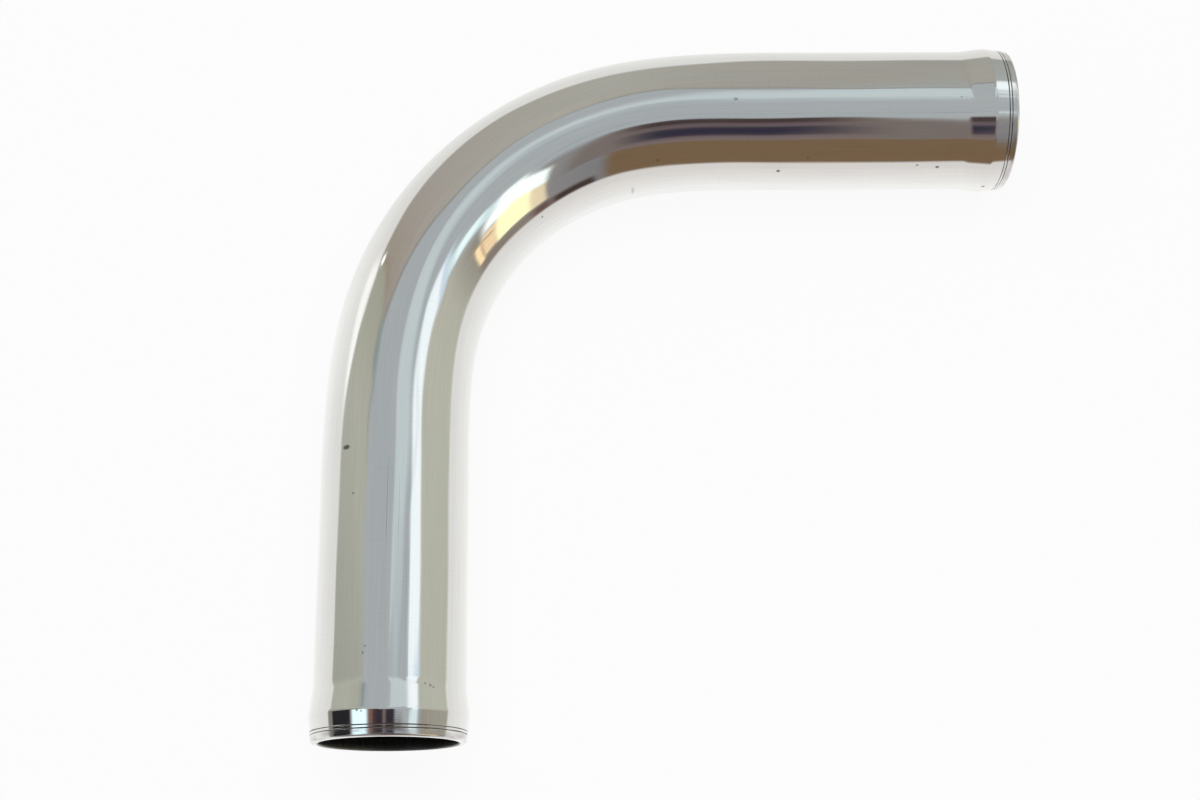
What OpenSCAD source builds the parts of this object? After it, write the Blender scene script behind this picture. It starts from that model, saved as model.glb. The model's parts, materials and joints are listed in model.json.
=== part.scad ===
// Aluminium pipe bend: one drawn tube, bent once, with a rolled hose bead near each mouth.
// The first mouth is centred on the origin and its leg runs along +Y.
// The bend is level and turns a right angle towards +X, where the second mouth faces.

/* [Tube] */
// Outside diameter of the tube
tube_od = 60; // [50:1:70]
// Thickness of the tube's wall
wall = 2; // [1.5:0.1:3]
// Length of the first leg, from its mouth to where the two centre lines meet
leg_a = 268; // [225:1:400]
// Length of the second leg, from its mouth to where the two centre lines meet
leg_b = 264; // [225:1:400]

/* [Bend] */
// Radius of the centre line in the tightest part of the bend
bend_radius = 120; // [90:1:130]
// Radius of the two arcs on either side of it
side_radius = 160; // [130:1:180]
// Radius of the bend's first and last arcs, where it leaves the straight legs
entry_radius = 410; // [190:1:450]

/* [Hose bead] */
// Height of the bead's crest above the tube, before the crest is rounded
bead_height = 1.4; // [0.5:0.05:3]
// Distance of the crest from the mouth
crest_at = 10; // [8:0.1:14]
// Length of the straight slope from the crest back to the plain tube
back_slope = 10.3; // [4:0.1:12]
// Length over which the crest is rounded, to each side
crest_rounding = 0.6; // [0.4:0.1:1]

/* [Mouth] */
// How far the collar at the mouth stands above the tube
collar_height = 0.3; // [0.1:0.05:0.5]
// Length of the collar, from the mouth to the foot of the bead
collar_length = 4.6; // [4.6:0.1:6]
// Distance of the first turned groove from the mouth
groove_at = 2.8; // [1.5:0.1:2.8]
// Distance between the two turned grooves, centre to centre
groove_pitch = 1.2; // [0.6:0.1:1.2]
// Width of a groove
groove_w = 0.5; // [0.2:0.1:0.5]
// Depth of a groove
groove_depth = 0.2; // [0.1:0.05:0.3]
// Radius of the mouth's outer edge
edge_radius = 0.5; // [0.2:0.1:0.9]
// Width of the chamfer on the mouth's inner edge
chamfer = 0.5; // [0.2:0.1:0.9]

/* [Hidden] */
$fn = 96;

tube_r = tube_od / 2;
crest_r = tube_r + bead_height;
collar_r = tube_r + collar_height;

// Degrees by which each ring is drawn past its wedge before the cut
spare = 1;
// Length of the wedges' sides, past the outside of every arc
wedge_length = 1000;

// The mouth's rounded outer edge
edge_points = [
    for (a = [0 : 30 : 90])
        [collar_r - edge_radius * (1 - sin(a)), edge_radius * (1 - cos(a))]
];

// Corners of the bead's outline
front_foot = [collar_r, collar_length];
crest_point = [crest_r, crest_at];
back_foot = [tube_r, crest_at + back_slope];

// The crest's rounding starts and ends on the slopes
crest_start = crest_point + crest_rounding * (front_foot - crest_point) / norm(front_foot - crest_point);
crest_end = crest_point + crest_rounding * (back_foot - crest_point) / norm(back_foot - crest_point);
crest_points = [
    for (i = [0 : 3])
        let (t = i / 3)
        (1 - t) * (1 - t) * crest_start + 2 * t * (1 - t) * crest_point + t * t * crest_end
];

// The bead, from the collar over the crest to the plain tube
bead_points = concat([front_foot], crest_points, [back_foot]);

// The two turned grooves in the collar, each a shallow V
groove_points = [
    for (i = [0 : 1], side = [-1 : 1])
        [
            collar_r - groove_depth * (1 - abs(side)),
            groove_at + i * groove_pitch + side * groove_w / 2
        ]
];

// The bead is rolled, so the inside follows the outside at one wall's distance
bead_points_inside = [
    for (i = [len(bead_points) - 1 : -1 : 0])
        [bead_points[i][0] - wall, bead_points[i][1]]
];

// The bend's five arcs, from the first leg to the second
arc_radii = [entry_radius, side_radius, bend_radius, side_radius, entry_radius];

// Cosine and sine of the angle turned where each arc starts, and where the last one ends.
// They are the ratios of whole-number triangles, so that neighbouring arcs meet exactly.
arc_turns = [[1, 0], [3116, 237] / 3125, [24, 7] / 25, [7, 24] / 25, [237, 3116] / 3125, [0, 1]];

// Direction from the centre line to the bend's inner side, at the start of arc i
function inward(i) = [arc_turns[i][0], -arc_turns[i][1]];

// Centre of arc i, from the start of the bend
function arc_centre(i) = i == 0 ? [arc_radii[0], 0] :
    arc_centre(i - 1) + (arc_radii[i] - arc_radii[i - 1]) * inward(i);

// Length of centre line that the bend takes from each leg
bend_reach = arc_centre(len(arc_radii) - 1)[0];

// A straight leg with its mouth at z = 0 and the bend at z = length
module leg(length) {
    rotate_extrude()
        polygon(concat(
            [[collar_r - wall, chamfer], [collar_r - wall + chamfer, 0]],
            edge_points,
            groove_points,
            bead_points,
            [[tube_r, length], [tube_r - wall, length]],
            bead_points_inside
        ));
}

// One arc of the bend: a stretch of ring, cut square at both ends by the wedge from its centre
module bent_tube(i) {
    radius = arc_radii[i];
    centre = arc_centre(i);
    first = 180 - atan2(arc_turns[i + 1][1], arc_turns[i + 1][0]);
    last = 180 - atan2(arc_turns[i][1], arc_turns[i][0]);
    translate([centre[0], leg_a - bend_reach + centre[1], 0])
        intersection() {
            rotate_extrude(start = first - spare, angle = last - first + 2 * spare, $fn = 360)
                translate([radius, 0])
                    difference() {
                        circle(r = tube_r, $fn = 96);
                        circle(r = tube_r - wall, $fn = 96);
                    }
            translate([0, 0, -tube_od])
                linear_extrude(2 * tube_od)
                    polygon([[0, 0], -wedge_length * inward(i), -wedge_length * inward(i + 1)]);
        }
}

// The whole bend, polished aluminium
module pipe_bend() {
    color("silver") {
        rotate([-90, 0, 0])
            leg(leg_a - bend_reach);
        for (i = [0 : len(arc_radii) - 1])
            bent_tube(i);
        translate([leg_b, leg_a, 0])
            rotate([0, -90, 0])
                leg(leg_b - bend_reach);
    }
}

pipe_bend();
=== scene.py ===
"""A polished aluminium pipe bend with rolled hose beads, lying on a white sheet."""

import json
import math

import bpy
import numpy as np
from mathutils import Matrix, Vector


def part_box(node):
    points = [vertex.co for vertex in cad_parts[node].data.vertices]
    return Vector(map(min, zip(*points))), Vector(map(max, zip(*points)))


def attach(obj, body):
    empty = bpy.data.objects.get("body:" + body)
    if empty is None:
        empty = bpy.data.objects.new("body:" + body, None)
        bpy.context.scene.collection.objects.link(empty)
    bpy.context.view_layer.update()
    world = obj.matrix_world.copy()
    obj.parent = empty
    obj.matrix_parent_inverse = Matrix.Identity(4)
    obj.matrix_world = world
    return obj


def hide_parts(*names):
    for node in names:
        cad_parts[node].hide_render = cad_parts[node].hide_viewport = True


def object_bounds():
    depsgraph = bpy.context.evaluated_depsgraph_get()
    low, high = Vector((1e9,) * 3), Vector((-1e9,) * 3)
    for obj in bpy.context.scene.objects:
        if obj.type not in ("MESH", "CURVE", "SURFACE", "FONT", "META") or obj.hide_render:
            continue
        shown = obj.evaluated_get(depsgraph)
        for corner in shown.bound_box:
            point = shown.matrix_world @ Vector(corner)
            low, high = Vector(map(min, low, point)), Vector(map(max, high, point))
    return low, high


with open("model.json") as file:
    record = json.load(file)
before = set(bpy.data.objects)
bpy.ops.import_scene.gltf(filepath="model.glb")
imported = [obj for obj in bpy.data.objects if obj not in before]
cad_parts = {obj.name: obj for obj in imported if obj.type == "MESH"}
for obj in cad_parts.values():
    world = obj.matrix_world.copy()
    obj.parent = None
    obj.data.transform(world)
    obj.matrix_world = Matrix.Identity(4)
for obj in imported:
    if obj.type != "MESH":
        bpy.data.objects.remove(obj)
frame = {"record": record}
cad_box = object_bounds()

MM = 0.001
NODE = "pipe_bend"
mounts = {mount["name"]: mount for mount in frame["record"]["mounts"]}
corner_x, corner_y, _ = mounts["hose_end_b"]["pos_m"]
collar_r = mounts["hose_end_a"]["dims"]["r_mm"] * MM
crest_r = -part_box(NODE)[0].x

# Tube
tube_r = 30.0 * MM
wall = 2.0 * MM

# Mouth: its rounded outer edge, and the lip that turns in
edge_radius = 0.9 * MM
lip_radius = 0.6 * MM
lip_depth = 1.3 * MM
lip_end = 5.0 * MM

# Grooves and bead, by their distance from the mouth
groove_places = (3.1 * MM, 4.3 * MM)
groove_half_width = 0.25 * MM
groove_depth = 0.2 * MM
crest_at = 10.2 * MM
bead_end = 20.7 * MM
crest_softness = 0.6 * MM
foot_softness = 1.5 * MM

# Bend: the curvature eases in over the ramp, holds, and eases out again. The tube is a little
# flattened there, and rises by a share of that.
tightest_radius = 120.3 * MM
ramp = 74.7 * MM
flattening = 0.022
rise_share = 0.4

# The tube isn't perfectly round: height of its shallow waves, and their lengths along it
wave = 0.04 * MM
wave_lengths = (0.061, 0.097)

# Steps in which the bend's centre line is added up
FINE_STEPS = 6001

# Faces round the tube, and the steps between the outside's rings in the legs and in the bend
SEGMENTS = 160
leg_step = 6 * MM
bend_step = 1.6 * MM

# Rings of the inside, and how far into the legs they start
INSIDE_RINGS = 70
inside_reach = 30 * MM

# Edges sharper than this stay sharp, in degrees
SHARP_ANGLE = 32

# Distance in the surface's map between the outside and the inside
inside_shift = 0.25

# Share of the light that the polished metal mirrors
MIRROR = 0.88

# Camera: place in metres, turn in degrees, and focal length in millimetres
CAMERA_PLACE = (0.06780, -0.06377, 0.62468)
CAMERA_TURN = (18.033, -1.192, -0.924)
LENS = 47.387

# Lamp overhead, and two opposite corners of the sheet under the tube
LAMP_PLACE = (0.1, 0.15, 1.6)
LAMP_SIZE = 1.6
LAMP_POWER = 14
SHEET = ((-0.35, -0.03), (0.5, 0.75))

# Pits and marks in the polish: distance from the first mouth, angle round the tube (0 is the
# bend's inner side and 90 is up), half length along it and half width round it, all in
# millimetres and degrees, and how dark each is, 0 to 1
MARKS = [
    (112.7, 124.5, 1.0, 1.9, 0.9), (93.5, 116.5, 0.5, 0.5, 0.6), (375.1, 18.2, 0.9, 0.8, 0.8),
    (443.7, 21.7, 0.9, 0.7, 0.8), (434.8, 24.0, 0.7, 0.5, 0.6), (318.8, 34.4, 0.7, 0.7, 0.45),
    (304.7, 4.2, 0.9, 3.0, 0.3), (387.2, 31.6, 0.5, 0.5, 0.5), (466.5, -2.6, 0.8, 0.8, 0.75),
    (355.7, 81.0, 1.1, 0.7, 0.45), (248.8, 26.2, 0.7, 0.7, 0.5), (12.2, -3.4, 0.5, 0.5, 0.7),
    (9.6, 106.7, 0.5, 0.5, 0.7), (9.2, 103.6, 0.4, 0.4, 0.6), (19.7, 58.3, 0.5, 0.5, 0.45),
    (19.1, 54.1, 0.6, 0.6, 0.5), (18.5, 51.5, 0.5, 0.5, 0.45), (88.0, 89.5, 18.0, 0.12, 0.4),
    (86.0, 80.7, 16.0, 0.1, 0.3), (31.0, 104.5, 0.7, 0.4, 0.5), (33.5, 103.0, 0.4, 0.7, 0.4),
    (60.0, 74.0, 26.0, 0.08, 0.25), (420.0, 60.0, 20.0, 0.08, 0.25), (452.0, 82.0, 0.5, 0.4, 0.4),
]


def centre_line():
    """Points of the bend's centre line and its heading, at even steps, and the bend's length."""
    turn_in_ramp = ramp / (2 * tightest_radius)
    held = (math.pi / 2 - 2 * turn_in_ramp) * tightest_radius
    bend_length = 2 * ramp + held
    s = np.linspace(0, bend_length, FINE_STEPS)
    curvature = np.clip(np.minimum(s, bend_length - s) / ramp, 0, 1) / tightest_radius
    step = s[1]
    heading = np.concatenate([[0], np.cumsum((curvature[1:] + curvature[:-1]) / 2 * step)])
    heading *= (math.pi / 2) / heading[-1]
    x = np.concatenate([[0], np.cumsum((np.sin(heading[1:]) + np.sin(heading[:-1])) / 2 * step)])
    y = np.concatenate([[0], np.cumsum((np.cos(heading[1:]) + np.cos(heading[:-1])) / 2 * step)])
    return s, x, y, heading, bend_length


bend_s, bend_x, bend_y, bend_heading, bend_length = centre_line()
reach = bend_x[-1]
leg_a = corner_y - reach
leg_b = corner_x - reach
whole = leg_a + bend_length + leg_b


def along(s):
    """Centre point, heading and bend strength (0 to 1) at a distance s from the first mouth."""
    t = np.clip(s - leg_a, 0, bend_length)
    heading = np.interp(t, bend_s, bend_heading)
    x = np.interp(t, bend_s, bend_x) + np.maximum(s - leg_a - bend_length, 0)
    y = np.interp(t, bend_s, bend_y) + np.minimum(s, leg_a)
    strength = np.clip(np.minimum(t, bend_length - t) / ramp, 0, 1)
    return x, y, heading, strength


def soft_corner(d, at, softness):
    """A bend of slope 1 at a place, rounded to either side of it."""
    t = np.clip((d - at) / softness, -1, 1)
    return np.where(d > at + softness, d - at, softness * (t + 1) ** 2 / 4)


def outside_radius(d):
    """Radius of the outside at a distance d from the nearer mouth, without grooves."""
    front_slope = (crest_r - tube_r) / crest_at
    back_slope = (crest_r - tube_r) / (bead_end - crest_at)
    radius = tube_r + front_slope * d
    radius = radius - (front_slope + back_slope) * soft_corner(d, crest_at, crest_softness)
    radius = radius + back_slope * soft_corner(d, bead_end, foot_softness)
    return np.minimum(radius, crest_r)


def mouth_outside():
    """(distance from the mouth, radius) of the outside, from the rim to the plain tube."""
    points = []
    nose_r = float(outside_radius(edge_radius))
    for angle in np.radians(np.arange(0, 91, 11.25)):
        d = edge_radius * (1 - np.cos(angle))
        points.append((d, nose_r - edge_radius * (1 - np.sin(angle))))
    for place in groove_places:
        for side, depth in ((-1, 0), (0, groove_depth), (1, 0)):
            d = place + side * groove_half_width
            points.append((d, float(outside_radius(d)) - depth))
    # The rings are closer together where the bead turns
    slopes = np.concatenate([
        np.arange(4.8, 9.3, 0.4),
        np.arange(9.3, 11.0, 0.1),
        np.arange(11.0, 19.0, 0.4),
        np.arange(19.0, 22.6, 0.2),
    ]) * MM
    for d in slopes:
        points.append((d, float(outside_radius(d))))
    return points


def mouth_inside():
    """(distance from the mouth, radius) of the inside, from the rim to the plain tube."""
    inner_r = collar_r - wall
    lip_r = inner_r - lip_depth
    points = []
    for angle in np.radians(np.arange(90, -1, -15)):
        d = lip_radius * (1 - np.sin(angle))
        points.append((d, lip_r + lip_radius * (1 - np.cos(angle))))
    points += [(0.6 * lip_end, lip_r + 0.2 * lip_depth), (lip_end, inner_r)]
    for d in (crest_at, bead_end):
        points.append((d, float(outside_radius(d)) - wall))
    return points


def profile():
    """The closed outline of the wall: (distance from the first mouth, radius, 1 on the inside)."""
    out_a = [(d, r, 0) for d, r in mouth_outside()]
    out_b = [(whole - d, r, 0) for d, r in reversed(mouth_outside())]
    bend_end = leg_a + bend_length
    outer = list(np.arange(out_a[-1][0] + leg_step, leg_a, leg_step))
    outer += list(np.arange(leg_a, bend_end, bend_step))
    outer += list(np.arange(bend_end, out_b[0][0] - leg_step / 2, leg_step))
    middle_out = [(s, tube_r, 0) for s in outer]
    in_b = [(whole - d, r, 1) for d, r in mouth_inside()]
    in_a = [(d, r, 1) for d, r in reversed(mouth_inside())]
    inner = np.linspace(bend_end + inside_reach, leg_a - inside_reach, INSIDE_RINGS)
    middle_in = [(s, tube_r - wall, 1) for s in inner]
    return out_a + middle_out + out_b + in_b + middle_in + in_a


def surface(s, r, angle):
    """Points of the tube's surface: angle 0 is the bend's inner side, a quarter turn is up."""
    x, y, heading, strength = along(s)
    from_bead = np.minimum(s, whole - s) - bead_end
    first, second = (2 * np.pi * s / length for length in wave_lengths)
    waves = np.sin(first + 3 * angle) + np.sin(second - 4 * angle)
    r = r + wave * waves * np.clip(from_bead / bead_end, 0, 1)
    narrow = r * (1 - flattening * strength)
    tall = r * (1 + rise_share * flattening * strength)
    inward = np.stack([np.cos(heading), -np.sin(heading), 0 * heading], -1)
    flat = (narrow * np.cos(angle))[..., None] * inward
    points = np.stack([x, y, tall * np.sin(angle)], -1)
    points[..., :2] += flat[..., :2]
    return points


def build_tube():
    """The tube as one mesh, with a map of its surface: distance along it, and arc round it."""
    rings = profile()
    s = np.array([p[0] for p in rings])[:, None]
    r = np.array([p[1] for p in rings])[:, None]
    angle = (np.arange(SEGMENTS) / SEGMENTS * 2 * np.pi)[None, :] - np.pi / 2
    s, r, angle = np.broadcast_arrays(s, r, angle)
    points = surface(s, r, angle).reshape(-1, 3)
    count = len(rings)
    i = np.arange(count)[:, None]
    j = np.arange(SEGMENTS)[None, :]
    i_next = (i + 1) % count
    j_next = (j + 1) % SEGMENTS
    ring, next_ring = i * SEGMENTS, i_next * SEGMENTS
    faces = np.stack([ring + j, next_ring + j, next_ring + j_next, ring + j_next], -1).reshape(-1, 4)
    mesh = bpy.data.meshes.new("pipe_bend_polished")
    mesh.from_pydata(points.tolist(), [], faces.tolist())
    inside = np.array([p[2] for p in rings])
    is_inner = (inside[i] & inside[i_next]).repeat(SEGMENTS, 1).reshape(-1)
    mesh.materials.append(polished_aluminium())
    mesh.materials.append(shaded_bare_inside())
    mesh.polygons.foreach_set("material_index", is_inner.astype(np.int32))
    mesh.polygons.foreach_set("use_smooth", np.ones(len(faces), bool))
    uv = mesh.uv_layers.new(name="surface")
    next_s = s[i_next[:, 0]]
    arc = (angle + np.pi / 2) * tube_r + inside[:, None] * inside_shift
    next_arc = arc + 2 * np.pi / SEGMENTS * tube_r
    corner_u = np.stack([s, next_s, next_s, s], -1)
    corner_v = np.stack([arc, arc, next_arc, next_arc], -1)
    uv.data.foreach_set("uv", np.stack([corner_u, corner_v], -1).reshape(-1).astype(np.float32))
    mesh.set_sharp_from_angle(angle=math.radians(SHARP_ANGLE))
    mesh.update()
    tube = bpy.data.objects.new("pipe_bend_polished", mesh)
    bpy.context.scene.collection.objects.link(tube)
    return tube


class Nodes:
    """Short calls for building a node tree."""

    def __init__(self, tree):
        self.tree = tree
        tree.nodes.clear()

    def add(self, kind, **settings):
        node = self.tree.nodes.new(kind)
        for name, value in settings.items():
            setattr(node, name, value)
        return node

    def link(self, source, socket):
        """Link an output to a socket, or set the socket to a plain value."""
        if isinstance(source, (int, float, tuple)):
            socket.default_value = source
        else:
            self.tree.links.new(source, socket)

    def filled(self, kind, values, **settings):
        """A node whose first inputs take these values."""
        node = self.add(kind, **settings)
        for value, socket in zip(values, node.inputs):
            self.link(value, socket)
        return node

    def math(self, operation, *values):
        return self.filled("ShaderNodeMath", values, operation=operation).outputs[0]

    def smooth(self, value, low, high, out_low=0.0, out_high=1.0):
        """A soft step from one value to another."""
        values = (value, low, high, out_low, out_high)
        return self.filled("ShaderNodeMapRange", values, interpolation_type="SMOOTHSTEP").outputs[0]

    def ramp(self, value, low, high, out_low, out_high):
        """A straight ramp from one value to another, flat beyond both ends."""
        values = (value, low, high, out_low, out_high)
        return self.filled("ShaderNodeMapRange", values, interpolation_type="LINEAR").outputs[0]

    def window(self, value, rise, fall):
        """1 between two soft edges and 0 outside them. Each edge is a span of the value."""
        up = self.smooth(value, *rise)
        down = self.smooth(value, *fall, 1.0, 0.0)
        return self.math("MULTIPLY", up, down)

    def mix(self, factor, a, b):
        node = self.add("ShaderNodeMix", data_type="RGBA")
        self.link(factor, node.inputs[0])
        self.link(a, node.inputs[6])
        self.link(b, node.inputs[7])
        return node.outputs[2]

    def mix_shaders(self, factor, a, b):
        return self.filled("ShaderNodeMixShader", (factor, a, b)).outputs[0]

    def noise(self, vector, scale, detail, rough=0.5):
        node = self.add("ShaderNodeTexNoise")
        self.link(vector, node.inputs["Vector"])
        node.inputs["Scale"].default_value = scale
        node.inputs["Detail"].default_value = detail
        node.inputs["Roughness"].default_value = rough
        return node.outputs["Fac"]

    def stretch(self, vector, scale):
        node = self.add("ShaderNodeMapping")
        self.link(vector, node.inputs["Vector"])
        node.inputs["Scale"].default_value = scale
        return node.outputs[0]

    def split(self, vector):
        return self.filled("ShaderNodeSeparateXYZ", (vector,)).outputs

    def away(self, vector, centre, scale):
        """Distance of a vector from a centre, each axis measured in its own scale."""
        offset = self.filled("ShaderNodeVectorMath", (vector,), operation="SUBTRACT")
        offset.inputs[1].default_value = centre
        scaled = self.filled("ShaderNodeVectorMath", (offset.outputs[0],), operation="MULTIPLY")
        scaled.inputs[1].default_value = scale
        length = self.filled("ShaderNodeVectorMath", (scaled.outputs[0],), operation="LENGTH")
        return length.outputs["Value"]

    def surface_map(self, name):
        return self.add("ShaderNodeUVMap", uv_map=name).outputs[0]

    def metal(self, colour, roughness):
        node = self.add("ShaderNodeBsdfPrincipled")
        node.inputs["Metallic"].default_value = 1.0
        self.link(colour, node.inputs["Base Color"])
        self.link(roughness, node.inputs["Roughness"])
        return node

    def output(self, shader, kind="ShaderNodeOutputMaterial"):
        self.filled(kind, (shader,))


def material(name):
    """A new material and its empty node tree."""
    m = bpy.data.materials.new(name)
    m.use_nodes = True
    return m, Nodes(m.node_tree)


def marks(n, uv):
    """How dark the pits and marks make a point, 0 to 1."""
    total = 0.0
    for s, angle, half_along, half_round, tone in MARKS:
        centre = (s * MM, math.radians(angle + 90) * tube_r, 0)
        distance = n.away(uv, centre, (1 / (half_along * MM), 1 / (half_round * MM), 0))
        total = n.math("MAXIMUM", total, n.smooth(distance, 0.5, 1.3, tone, 0.0))
    return total


def mouth_shade_grime_wear_and_reflection(n, uv):
    """How dark the grooves are at a point, from painted shade and grime, and how dull and dark the lip
    in front of them, from wear and a painted reflection, 0 to 1.
    """
    s = n.split(uv)[0]
    from_mouth = n.math("MINIMUM", s, n.math("SUBTRACT", whole, s))
    uneven = n.noise(n.stretch(uv, (1, 0.2, 1)), 500, 3)
    wavy = n.math("ADD", from_mouth, n.ramp(uneven, 0.3, 0.7, -0.12 * MM, 0.12 * MM))
    grooves = 0.0
    # Painted shade: the grooves are darkened, up to 0.9, for the shade and grime in them
    for place in groove_places:
        off = n.math("ABSOLUTE", n.math("SUBTRACT", wavy, place))
        grooves = n.math("MAXIMUM", grooves, n.smooth(off, 0.08 * MM, 0.3 * MM, 0.9, 0.0))
    # Painted reflection and wear: the lip is marked for a darker, pinkish colour, partly its scratched
    # wear and partly dark surroundings mirrored in it
    on_lip = n.smooth(from_mouth, 2.4 * MM, 3.0 * MM, 1.0, 0.0)
    return grooves, n.math("MULTIPLY", on_lip, n.smooth(uneven, 0.35, 0.65))


def polished_aluminium():
    """Bright metal with buffing marks, scratches and pits; at the mouths, grooves darkened with painted
    shade and grime, and lips worn and painted with a dark reflection.
    """
    m, n = material("polished_aluminium")
    uv = n.surface_map("surface")

    # Buffing marks: fine lines round the tube and along it, and broad fringes of tint
    around = n.noise(n.stretch(uv, (1, 0.012, 1)), 3000, 4)
    lengthwise = n.noise(n.stretch(uv, (0.02, 1, 1)), 1300, 5, 0.6)
    fringes = n.noise(n.stretch(uv, (0.012, 1, 1)), 420, 3)
    cloudy = n.noise(uv, 45, 4)
    colour = n.mix(cloudy, (0.865, 0.87, 0.875, 1), (0.89, 0.89, 0.89, 1))
    colour = n.mix(n.ramp(fringes, 0.35, 0.65, 0.0, 1.0), colour, (0.93, 0.885, 0.86, 1))
    colour = n.mix(n.ramp(lengthwise, 0.35, 0.65, 0.4, 0.0), colour, (0.74, 0.78, 0.8, 1))
    colour = n.mix(n.ramp(around, 0.35, 0.65, 0.14, 0.0), colour, (0.78, 0.78, 0.8, 1))

    # Scattered scratches, along the tube and round it
    drawn = n.smooth(n.noise(n.stretch(uv, (0.015, 1, 1)), 3500, 2), 0.64, 0.74)
    turned = n.smooth(n.noise(n.stretch(uv, (1, 0.03, 1)), 2200, 2), 0.64, 0.76)
    scratches = n.math("MULTIPLY", n.math("MAXIMUM", drawn, turned), 0.28)
    colour = n.mix(scratches, colour, (0.6, 0.6, 0.6, 1))

    # Painted shade and grime in the grooves, wear and a painted dark reflection on the lips, and pits
    grooves, lip = mouth_shade_grime_wear_and_reflection(n, uv)
    dark = n.math("MAXIMUM", marks(n, uv), grooves)
    # The lip's darker, pinkish colour is partly wear and partly a painted reflection of dark, pinkish
    # surroundings
    colour = n.mix(n.math("MULTIPLY", lip, 0.45), colour, (0.38, 0.34, 0.35, 1))
    # Painted shade and grime in the grooves, together with the pits, darken the colour to near black
    # here
    colour = n.mix(dark, colour, (0.1, 0.095, 0.1, 1))
    dullness = n.math("ADD", n.math("MULTIPLY", dark, 0.3), n.math("MULTIPLY", lip, 0.12))
    roughness = n.math("ADD", n.ramp(cloudy, 0.3, 0.7, 0.05, 0.08), dullness)

    bump = n.add("ShaderNodeBump")
    bump.inputs["Strength"].default_value = 0.05
    bump.inputs["Distance"].default_value = 0.1 * MM
    n.link(n.math("ADD", n.math("MULTIPLY", around, 0.6), lengthwise), bump.inputs["Height"])
    shader = n.metal(colour, roughness)
    shader.inputs["Specular Tint"].default_value = (0.95, 0.95, 0.95, 1)
    n.link(bump.outputs[0], shader.inputs["Normal"])
    n.output(shader.outputs[0])
    return m


def shaded_bare_inside():
    """The inside's dull metal, as drawn, with its colour darkened as painted shade."""
    m, n = material("bare_aluminium")
    drawn = n.noise(n.stretch(n.surface_map("surface"), (0.03, 1, 1)), 700, 4)
    # Painted shade: the inside's colour is far darker than the metal's own and stands in for the shade
    # inside the tube; the streaks along it are drawing marks
    colour = n.mix(drawn, (0.13, 0.13, 0.125, 1), (0.20, 0.20, 0.19, 1))
    shader = n.metal(colour, n.ramp(drawn, 0.3, 0.7, 0.34, 0.48))
    n.output(shader.outputs[0])
    return m


# Surroundings that the metal mirrors. Azimuth 0 is +X, 90 is +Y; elevation is above the horizon.
# Colours are as they appear in the metal, 0 to 255, times a gain for the bright ones.
CEILING = (165, 171, 173)
CEILING_SEAM = (112, 112, 108)
CEILING_JOINT = (118, 118, 118)
FLOOR = (219, 219, 215)
FLOOR_IN_FRONT = (214, 210, 206)
NEAR_FLOOR = (243, 244, 242)

# Spans of azimuth and elevation that the curves below are drawn over
AZIMUTHS = (-104.0, 260.0)
ELEVATIONS = (-20.0, 80.0)

# Top of the walls and far edge of the floor: elevation at an azimuth
SKYLINE = [
    (-104, 58), (-57, 60), (-38, 57), (-9, 41), (8, 42), (17, 43), (45, 52), (60, 57), (70, 60),
    (80, 58), (86, 55), (92, 57.5), (101, 60.5), (110, 59), (118, 57), (124, 55.5), (131, 53.5),
    (141, 50), (147, 48.5), (157, 48.5), (161, 50.5), (166, 54.5), (180, 56), (190, 34), (260, 34),
]
FLOOR_EDGE = [
    (-104, -10), (-82, -9.5), (-74, -8), (-50, -10), (-30, -9), (-10, -7), (0, -7), (10, -7.5),
    (60, -5), (75, -4), (82, -3.5), (87, 1), (93, 1.5), (105, -1), (112, -4), (122, -3.5),
    (128, -1), (135, 6), (141, 11), (145, 15.5), (152, 12), (157, 8), (161, 4), (165, 2), (180, 0),
    (260, -8),
]

# Colour of the walls at an azimuth
WALLS = [
    (-104, (116, 108, 106)), (-56, (124, 124, 126)), (-40, (134, 132, 131)), (-9, (144, 140, 130)),
    (6, (178, 178, 164)), (18, (180, 182, 168)), (60, (160, 166, 164)), (76, (157, 155, 147)),
    (95, (167, 166, 157)), (125, (161, 155, 147)), (138, (154, 146, 134)), (142, (160, 161, 146)),
    (160, (171, 174, 162)), (172, (158, 159, 150)), (180, (130, 125, 121)), (260, (116, 108, 106)),
]

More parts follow.
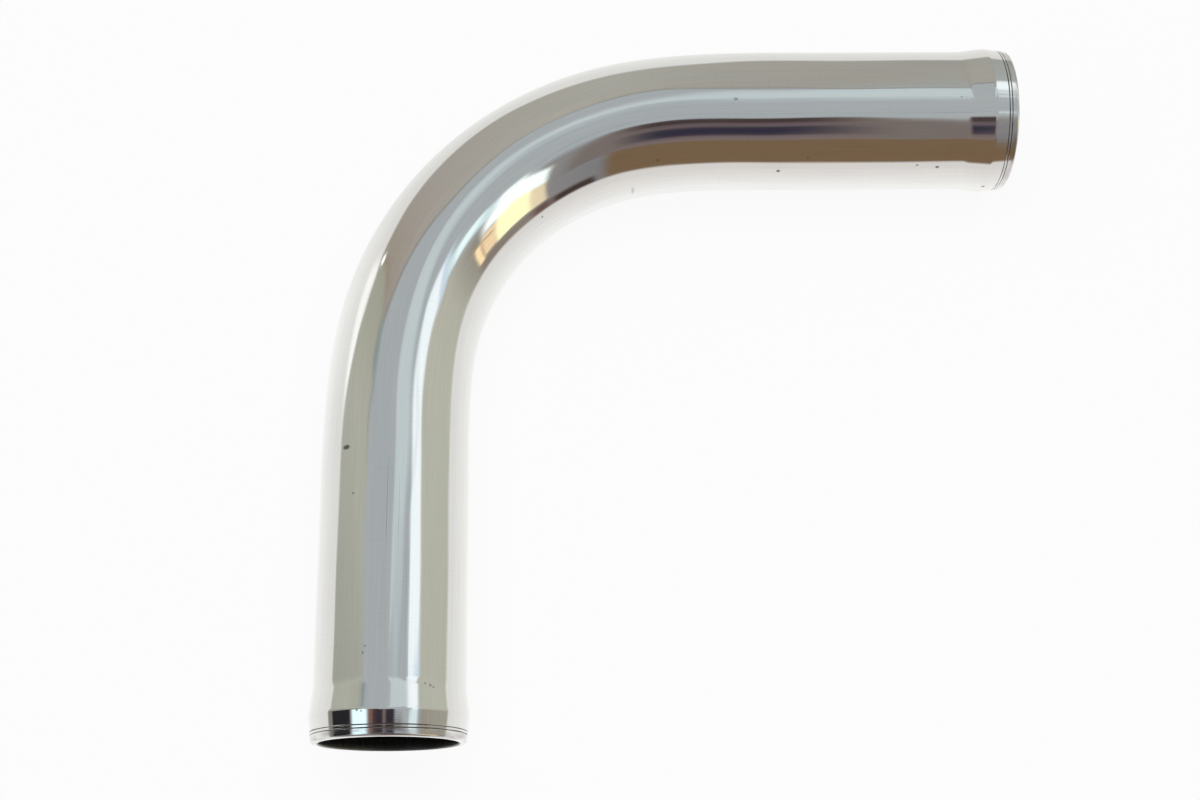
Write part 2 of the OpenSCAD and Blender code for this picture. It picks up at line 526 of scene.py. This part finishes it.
# Each card: azimuth from and to, elevation from and to, softness of the sides and of the top and
# bottom in degrees, rise per degree of azimuth, colour and gain
CARDS = [
    ("brown wall in front", -104, -58, -40, 33, 3, 2.5, 0, (116, 95, 72), 1),
    ("dark foot", -54.5, -38.5, -14, 1.5, 1.5, 3.5, 0, (66, 55, 50), 1),
    ("reddish foot", -38.5, -30, -14, 2.5, 3, 2.5, 0, (104, 82, 76), 1),
    ("ledge", -31, -9, -14, 3.5, 3, 3, 0.1, (134, 124, 114), 1),
    ("left pane", -37, -31, 5.5, 35, 0.8, 2, 0, (230, 213, 178), 1),
    ("middle pane", -31.3, -18, 6, 38, 1, 1.5, 0, (255, 250, 198), 1.1),
    ("right pane", -18.2, -12, 7.5, 31, 1, 2, 0, (242, 214, 172), 1),
    ("glazing bar", -12.2, -11.2, 5, 25, 0.4, 1, 0, (186, 156, 122), 1),
    ("narrow pane", -11.4, -8.6, 5, 27, 0.5, 2, 0, (255, 228, 178), 1.05),
    ("small roof", -17.5, -7, 25, 27, 1, 0.9, 0.3, (176, 150, 120), 1),
    ("bright sky, left", -37, -20, 35, 51.5, 1.5, 2.5, 0.5, (244, 255, 251), 1.15),
    ("bright sky, right", -23, -12.5, 33, 56, 2.5, 2.5, -0.25, (246, 255, 252), 1.15),
    ("dim arm of the sky", -14, 13, 43.5, 53, 2, 2, 0, (208, 229, 231), 1),
    ("bright patch in the arm", -8, 3, 45, 52, 2.5, 2, -0.3, (236, 253, 252), 1.05),
    ("bluish edge", 8, 13.5, 40, 58, 1.5, 3, 0, (200, 218, 231), 1),
    ("bright arm", 12.5, 26, 42, 57.5, 1, 1.8, 0.05, (238, 247, 250), 1.02),
    ("end of the bright arm", 26, 52, 38, 55.5, 2, 2.5, 0, (240, 248, 250), 1),
    ("pale overhead", 30, 64, 68, 78, 8, 5, 0, (177, 188, 192), 1),
    ("paler towards the back", 34, 74, 57, 75, 5, 2, 0.3, (190, 201, 203), 1),
    ("white spot", 139.3, 140.8, 13.5, 17.5, 0.5, 0.8, 0, (255, 255, 250), 1.6),
    ("corner of the walls", 138.4, 140, 20, 43, 0.8, 3, 0, (148, 138, 122), 1),
    ("greenish patch", 139, 148.5, 46, 53, 3, 2.5, 0, (136, 148, 146), 1),
    ("dark line by the patch", 147, 156, 49.5, 50.5, 1, 0.6, -0.7, (138, 141, 137), 1),
    ("black block", 180, 193, 8, 39, 2, 1.5, 0, (36, 36, 38), 1),
    ("ice-white block", 183, 200, 42, 62.5, 2, 1.5, 0, (224, 252, 255), 1.15),
    ("reddish block", 190, 235, 65, 79, 2, 1.5, 0, (118, 90, 80), 1),
]
GLARE = ("glare on the floor", 141, 161, 0, 13, 3, 4, 0, (250, 252, 248), 1)


def light(colour, gain=1.0):
    """Light that gives a colour (0 to 255) once the metal has mirrored it."""
    shares = [c / 255 for c in colour]
    linear = [((c + 0.055) / 1.055) ** 2.4 if c > 0.04045 else c / 12.92 for c in shares]
    return tuple(c * gain / MIRROR for c in linear) + (1,)


def card_mask(n, azimuth, elevation, card):
    """1 on a card and 0 off it."""
    _, a0, a1, e0, e1, side, cap, rise, _, _ = card
    lift = n.math("MULTIPLY", n.math("SUBTRACT", azimuth, (a0 + a1) / 2), rise)
    level = n.math("SUBTRACT", elevation, lift)
    across = n.window(azimuth, (a0 - side, a0 + side), (a1 - side, a1 + side))
    upward = n.window(level, (e0 - cap, e0 + cap), (e1 - cap, e1 + cap))
    return n.math("MULTIPLY", across, upward)


def share_of(value, span):
    """Place of a value in a span, 0 to 1."""
    return (value - span[0]) / (span[1] - span[0])


def over_azimuth(n, azimuth, points):
    """Elevation along a line drawn through (azimuth, elevation) points."""
    node = n.add("ShaderNodeFloatCurve")
    node.mapping.use_clip = False
    line = node.mapping.curves[0]
    places = [(share_of(a, AZIMUTHS), share_of(e, ELEVATIONS)) for a, e in points]
    line.points[0].location = places[0]
    line.points[1].location = places[-1]
    for place in places[1:-1]:
        line.points.new(*place)
    for point in line.points:
        point.handle_type = "AUTO_CLAMPED"
    node.mapping.update()
    n.link(n.ramp(azimuth, *AZIMUTHS, 0.0, 1.0), node.inputs["Value"])
    return n.ramp(node.outputs[0], 0.0, 1.0, *ELEVATIONS)


def colour_bands(n, value, bands):
    """Light of the colours at their places (0 to 1) along a value."""
    node = n.filled("ShaderNodeValToRGB", (value,))
    elements = node.color_ramp.elements
    elements[0].position, elements[0].color = bands[0][0], light(bands[0][1])
    elements[1].position, elements[1].color = bands[-1][0], light(bands[-1][1])
    for position, colour in bands[1:-1]:
        elements.new(position).color = light(colour)
    return node.outputs[0]


def ceiling_and_walls(n, azimuth, elevation):
    """The ceiling above the skyline, the walls below it, and a dark seam along the back."""
    below_sky = n.math("SUBTRACT", over_azimuth(n, azimuth, SKYLINE), elevation)
    softness = n.smooth(azimuth, -9.0, 25.0, 6.0, 1.2)
    on_wall = n.smooth(n.math("DIVIDE", below_sky, softness), -1.0, 1.0)
    places = [(share_of(a, AZIMUTHS), colour) for a, colour in WALLS]
    walls = colour_bands(n, n.ramp(azimuth, *AZIMUTHS, 0.0, 1.0), places)
    colour = n.mix(on_wall, light(CEILING), walls)
    seam = n.smooth(n.math("ABSOLUTE", below_sky), 0.3, 1.5, 0.55, 0.0)
    along_back = n.window(azimuth, (48.0, 62.0), (136.0, 141.0))
    return n.mix(n.math("MULTIPLY", seam, along_back), colour, light(CEILING_SEAM))


def ceiling_joint(n, x, y, z, colour):
    """A thin straight line across the ceiling, along X."""
    off = n.math("ABSOLUTE", n.math("ADD", n.math("DIVIDE", y, z), 0.2465))
    line = n.math("MULTIPLY", n.smooth(off, 0.002, 0.007, 0.6, 0.0), n.smooth(x, 0.0, 0.05))
    return n.mix(n.math("MULTIPLY", line, n.smooth(z, 0.6, 0.7)), colour, light(CEILING_JOINT))


def floor_over(n, azimuth, elevation, colour):
    """The floor, laid over the colour below its far edge."""
    below_edge = n.math("SUBTRACT", over_azimuth(n, azimuth, FLOOR_EDGE), elevation)
    softness = n.smooth(azimuth, 130.0, 140.0, 2.6, 1.6)
    far_floor = n.mix(n.smooth(azimuth, -60.0, 0.0), light(FLOOR_IN_FRONT), light(FLOOR))
    floor = n.mix(n.ramp(below_edge, 8.0, 64.0, 0.0, 1.0), far_floor, light(NEAR_FLOOR))
    on_floor = n.smooth(n.math("DIVIDE", below_edge, softness), -1.0, 1.0)
    colour = n.mix(on_floor, colour, floor)
    glare = n.math("MULTIPLY", card_mask(n, azimuth, elevation, GLARE), n.smooth(below_edge, -0.5, 2.0))
    return n.mix(glare, colour, light(*GLARE[-2:]))


def surroundings():
    """The room, which only the metal sees. To the camera the world is white."""
    world = bpy.data.worlds.new("studio")
    bpy.context.scene.world = world
    world.use_nodes = True
    n = Nodes(world.node_tree)
    x, y, z = n.split(n.add("ShaderNodeTexCoord").outputs["Generated"])
    azimuth = n.math("WRAP", n.math("DEGREES", n.math("ARCTAN2", y, x)), 260.0, -100.0)
    elevation = n.math("DEGREES", n.math("ARCSINE", z))
    colour = ceiling_and_walls(n, azimuth, elevation)
    for card in CARDS:
        colour = n.mix(card_mask(n, azimuth, elevation, card), colour, light(*card[-2:]))
    colour = ceiling_joint(n, x, y, z, colour)
    colour = floor_over(n, azimuth, elevation, colour)
    room = n.filled("ShaderNodeBackground", (colour,))
    plain = n.filled("ShaderNodeBackground", ((1, 1, 1, 1),))
    path = n.add("ShaderNodeLightPath").outputs
    n.link(n.ramp(path["Is Camera Ray"], 0.0, 1.0, 0.45, 1.0), plain.inputs["Strength"])
    seen = n.mix_shaders(path["Is Glossy Ray"], plain.outputs[0], room.outputs[0])
    n.output(seen, "ShaderNodeOutputWorld")


def standing_card(name, corners, bands, fade_to, fade):
    """A soft-edged card near the tube, seen in the metal only.

    Its colour bands run from its first edge to the one opposite. They fade to one colour over a
    span of X, and the fade leans towards +X as it rises.
    """
    m, n = material(name)
    place = n.split(n.add("ShaderNodeNewGeometry").outputs["Position"])
    u, v, _ = n.split(n.surface_map("card"))
    leaning = n.math("SUBTRACT", place[0], n.math("MULTIPLY", place[2], 0.15))
    colour = n.mix(n.smooth(leaning, *fade), colour_bands(n, v, bands), light(fade_to))
    shine = n.filled("ShaderNodeEmission", (colour,))
    clear = n.add("ShaderNodeBsdfTransparent")
    sides = n.window(u, (0.0, 0.06), (0.88, 1.0))
    ends = n.window(v, (0.0, 0.04), (0.86, 1.0))
    n.output(n.mix_shaders(n.math("MULTIPLY", sides, ends), clear.outputs[0], shine.outputs[0]))
    mesh = bpy.data.meshes.new(name)
    mesh.from_pydata(corners, [], [(0, 1, 2, 3)])
    mesh.materials.append(m)
    mesh.uv_layers.new(name="card").data.foreach_set("uv", [0, 0, 1, 0, 1, 1, 0, 1])
    card = bpy.data.objects.new(name, mesh)
    card.visible_camera = False
    card.visible_diffuse = False
    card.visible_shadow = False
    bpy.context.scene.collection.objects.link(card)


def standing_cards():
    """A dark card in front of the tube, and one overhead that the first mouth's cone sees."""
    standing_card(
        "dark card",
        [(-0.3, -0.15, 0.28), (0.5, -0.15, 0.28), (0.5, -0.15, 1.14), (-0.3, -0.15, 1.14)],
        [
            (0.0, (118, 102, 102)), (0.075, (114, 98, 98)), (0.13, (58, 53, 64)),
            (0.22, (46, 43, 60)), (0.33, (56, 52, 62)), (0.42, (102, 90, 94)),
            (0.54, (94, 82, 84)), (0.62, (66, 56, 56)), (0.9, (72, 59, 58)), (1.0, (84, 70, 68)),
        ],
        (118, 109, 104), (0.17, 0.29),
    )
    standing_card(
        "dark card overhead",
        [(-0.2, -0.13, 0.62), (-0.2, -0.05, 0.62), (0.17, -0.05, 0.62), (0.17, -0.13, 0.62)],
        [
            (0.0, (86, 66, 64)), (0.12, (68, 52, 56)), (0.3, (46, 38, 48)), (0.42, (56, 46, 52)),
            (0.48, (118, 104, 100)), (0.54, (104, 92, 90)), (0.6, (44, 38, 48)),
            (1.0, (50, 44, 52)),
        ],
        (50, 44, 52), (0.5, 0.6),
    )


def white_sheet():
    """The sheet that the tube lies on: white to the camera, with a faint shadow.

    The metal mirrors the surroundings' own floor in its place.
    """
    m, n = material("white_sheet")
    paper = n.filled("ShaderNodeBsdfDiffuse", ((0.93, 0.93, 0.93, 1),))
    bright = n.filled("ShaderNodeEmission", ((1, 1, 1, 1), 1.0))
    path = n.add("ShaderNodeLightPath").outputs
    mirrored = n.math("ADD", path["Is Glossy Ray"], path["Is Transmission Ray"])
    seen = n.math("MINIMUM", n.math("ADD", path["Is Camera Ray"], mirrored), 1.0)
    share = n.math("MULTIPLY", seen, 0.9)
    n.output(n.mix_shaders(share, paper.outputs[0], bright.outputs[0]))
    (x0, y0), (x1, y1) = SHEET
    floor_z = cad_box[0].z
    corners = [(x0, y0, floor_z), (x1, y0, floor_z), (x1, y1, floor_z), (x0, y1, floor_z)]
    mesh = bpy.data.meshes.new("white_sheet")
    mesh.from_pydata(corners, [], [(0, 1, 2, 3)])
    mesh.materials.append(m)
    sheet = bpy.data.objects.new("white_sheet", mesh)
    bpy.context.scene.collection.objects.link(sheet)
    sheet.visible_glossy = False


def soft_lamp():
    """Large soft lamp overhead. It lights the sheet and isn't mirrored in the metal."""
    data = bpy.data.lights.new("soft_lamp", "AREA")
    data.shape = "SQUARE"
    data.size = LAMP_SIZE
    data.energy = LAMP_POWER
    lamp = bpy.data.objects.new("soft_lamp", data)
    lamp.location = LAMP_PLACE
    lamp.visible_glossy = False
    lamp.visible_camera = False
    bpy.context.scene.collection.objects.link(lamp)


def camera():
    """The camera looks down on the tube from in front of the first mouth."""
    data = bpy.data.cameras.new("camera")
    data.sensor_width = 36
    data.lens = LENS
    data.clip_start = 0.01
    cam = bpy.data.objects.new("camera", data)
    cam.location = CAMERA_PLACE
    cam.rotation_euler = [math.radians(a) for a in CAMERA_TURN]
    bpy.context.scene.collection.objects.link(cam)
    bpy.context.scene.camera = cam


camera()
tube = build_tube()
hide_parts(NODE)
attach(tube, "root")
white_sheet()
soft_lamp()
surroundings()
standing_cards()
bpy.context.scene.view_settings.view_transform = "Standard"
